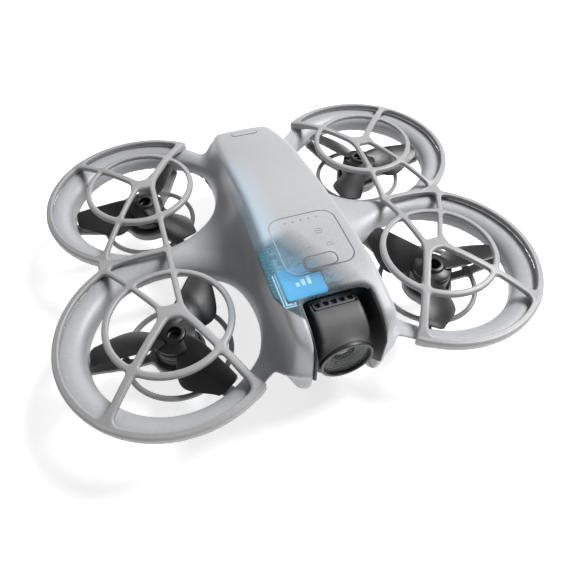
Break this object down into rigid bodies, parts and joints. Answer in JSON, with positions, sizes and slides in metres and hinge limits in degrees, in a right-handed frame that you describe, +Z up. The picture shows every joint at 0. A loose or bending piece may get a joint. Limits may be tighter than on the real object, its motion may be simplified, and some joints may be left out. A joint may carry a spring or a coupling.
{
  "type": "ducted camera quadcopter",
  "caption": "Palm-sized ducted racing quadcopter with a tilting nose camera, caged propellers and a slide-out battery.",
  "frame": {"origin": "on the ground under the middle of the craft's bounding box", "axes": "+X to the craft's own left seen from the front, across the rotors; -Y towards the camera in the nose; +Z up"},
  "size_m": [0.1568, 0.13, 0.0485],
  "materials": {
    "shell_plastic": "fine satin, light grey",
    "guard_plastic": "fine satin, light grey",
    "mount_plastic": "satin grey",
    "propeller_plastic": "charcoal satin",
    "motor_shell": "black anodised",
    "motor_winding": "enamelled copper on black laminations",
    "black_plastic": "black satin",
    "camera_satin": "mid grey satin",
    "lens_glass": "coated dark glass",
    "steel": "plain",
    "panel_plastic": "satin light grey",
    "light_guide": "clear white",
    "circuit_board": "solder mask",
    "memory_blue": "gloss blue",
    "contact_gold": "plated",
    "battery_plastic": "satin grey"
  },
  "bodies": {
    "airframe": {"board_screw_1": "steel", "board_screw_2": "steel", "board_screw_3": "steel", "board_screw_4": "steel", "camera_axle": "steel", "camera_bracket": "black_plastic", "control_panel": "panel_plastic", "downward_camera": "lens_glass", "front_left_motor_mount": "mount_plastic", "front_left_motor_stator": "motor_winding", "front_right_motor_mount": "mount_plastic", "front_right_motor_stator": "motor_winding", "left_propeller_guard": "guard_plastic", "light_guide": "light_guide", "lower_shell": "shell_plastic", "main_board": "circuit_board", "memory_module": "memory_blue", "memory_socket": "contact_gold", "power_board": "circuit_board", "processor_shield": "steel", "radio_shield": "steel", "range_sensor": "lens_glass", "rear_left_motor_mount": "mount_plastic", "rear_left_motor_stator": "motor_winding", "rear_right_motor_mount": "mount_plastic", "rear_right_motor_stator": "motor_winding", "right_propeller_guard": "guard_plastic", "upper_shell": "shell_plastic", "usb_port": "steel"},
    "front_left_rotor": {"front_left_motor_bell": "motor_shell", "front_left_propeller": "propeller_plastic"},
    "front_right_rotor": {"front_right_motor_bell": "motor_shell", "front_right_propeller": "propeller_plastic"},
    "rear_left_rotor": {"rear_left_motor_bell": "motor_shell", "rear_left_propeller": "propeller_plastic"},
    "rear_right_rotor": {"rear_right_motor_bell": "motor_shell", "rear_right_propeller": "propeller_plastic"},
    "camera": {"camera_body": "camera_satin", "camera_top_cover": "camera_satin", "lens_bezel": "black_plastic", "lens_window": "lens_glass", "lens_barrel": "black_plastic", "inner_lens": "lens_glass"},
    "mode_key": {"mode_button": "panel_plastic"},
    "power_key": {"power_button": "panel_plastic"},
    "battery": {"battery_pack": "battery_plastic"},
    "left_latch": {"battery_latch_left": "panel_plastic"},
    "right_latch": {"battery_latch_right": "panel_plastic"}
  },
  "joints": [
    {"name": "front_left_spin", "type": "hinge", "parent": "airframe", "child": "front_left_rotor", "pos_m": [-0.0442, -0.0308, 0.0225], "axis": [0, 0, 1], "continuous": true},
    {"name": "front_right_spin", "type": "hinge", "parent": "airframe", "child": "front_right_rotor", "pos_m": [0.0442, -0.0308, 0.0225], "axis": [0, 0, 1], "continuous": true},
    {"name": "rear_left_spin", "type": "hinge", "parent": "airframe", "child": "rear_left_rotor", "pos_m": [-0.0442, 0.0308, 0.0225], "axis": [0, 0, 1], "continuous": true},
    {"name": "rear_right_spin", "type": "hinge", "parent": "airframe", "child": "rear_right_rotor", "pos_m": [0.0442, 0.0308, 0.0225], "axis": [0, 0, 1], "continuous": true},
    {"name": "camera_tilt", "type": "hinge", "parent": "airframe", "child": "camera", "pos_m": [0, -0.0485, 0.0316], "axis": [1, 0, 0], "range_deg": [-60, 90]},
    {"name": "mode_press", "type": "slide", "parent": "airframe", "child": "mode_key", "axis": [0, 0, -1], "range_m": [0, 0.0003], "stiffness_N_per_m": 400, "springref_m": -0.0005},
    {"name": "power_press", "type": "slide", "parent": "airframe", "child": "power_key", "axis": [0, 0, -1], "range_m": [0, 0.0004], "stiffness_N_per_m": 400, "springref_m": -0.0005},
    {"name": "battery_slide", "type": "slide", "parent": "airframe", "child": "battery", "axis": [0, 1, 0], "range_m": [0, 0.062]},
    {"name": "left_latch_press", "type": "slide", "parent": "battery", "child": "left_latch", "axis": [1, 0, 0], "range_m": [0, 0.0009], "stiffness_N_per_m": 400, "springref_m": -0.0005},
    {"name": "right_latch_press", "type": "slide", "parent": "battery", "child": "right_latch", "axis": [-1, 0, 0], "range_m": [0, 0.0009], "stiffness_N_per_m": 400, "springref_m": -0.0005}
  ]
}
